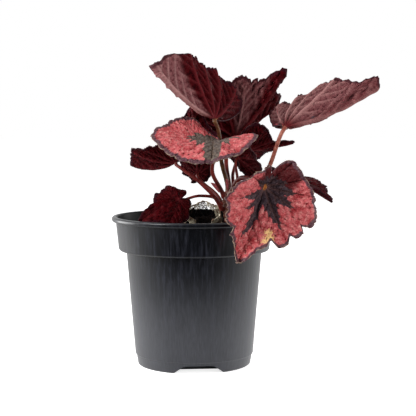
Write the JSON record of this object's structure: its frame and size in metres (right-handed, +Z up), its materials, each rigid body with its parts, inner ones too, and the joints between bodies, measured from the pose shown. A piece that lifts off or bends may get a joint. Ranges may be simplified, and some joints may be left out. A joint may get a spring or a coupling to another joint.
{
  "type": "potted begonia",
  "caption": "Rex begonia with folded heart-shaped leaves on bare stalks, growing from a netted peat plug in a round nursery pot that stands on its flat base",
  "frame": {"origin": "centre of the pot's flat base, on the pot's axis", "axes": "+Z up along the pot's axis; the plant's front faces -Y; the long folded leaf reaches out towards +X"},
  "size_m": [0.2067, 0.1662, 0.2449],
  "materials": {
    "pot": "satin black injection-moulded polypropylene",
    "soil": null,
    "plug": null,
    "net": "pale non-woven fibre netting",
    "rhizome": "rough brown stem skin",
    "stalk": null,
    "blade_dark": null,
    "blade_red": null,
    "stipule": "thin papery pink scale"
  },
  "bodies": {
    "root": {"pot": "pot", "soil": "soil", "plug": "plug", "plug_net": "net", "rhizome": "rhizome", "stalk_upper_left": "stalk", "stalk_upper_middle": "stalk", "stalk_far_right": "stalk", "stalk_left_red": "stalk", "stalk_front_red": "stalk", "stalk_far_left": "stalk", "stalk_low_left": "stalk", "stalk_back_left": "stalk", "stalk_back_right": "stalk", "stalk_inner": "stalk", "stalk_right_tip": "stalk", "blade_upper_left": "blade_dark", "blade_upper_middle": "blade_dark", "blade_far_right": "blade_dark", "blade_left_red": "blade_red", "blade_front_red": "blade_red", "blade_far_left": "blade_dark", "blade_low_left": "blade_dark", "blade_back_left": "blade_dark", "blade_back_right": "blade_dark", "blade_inner": "blade_dark", "blade_right_tip": "blade_dark", "stipule_left": "stipule", "stipule_right": "stipule"}
  },
  "joints": []
}
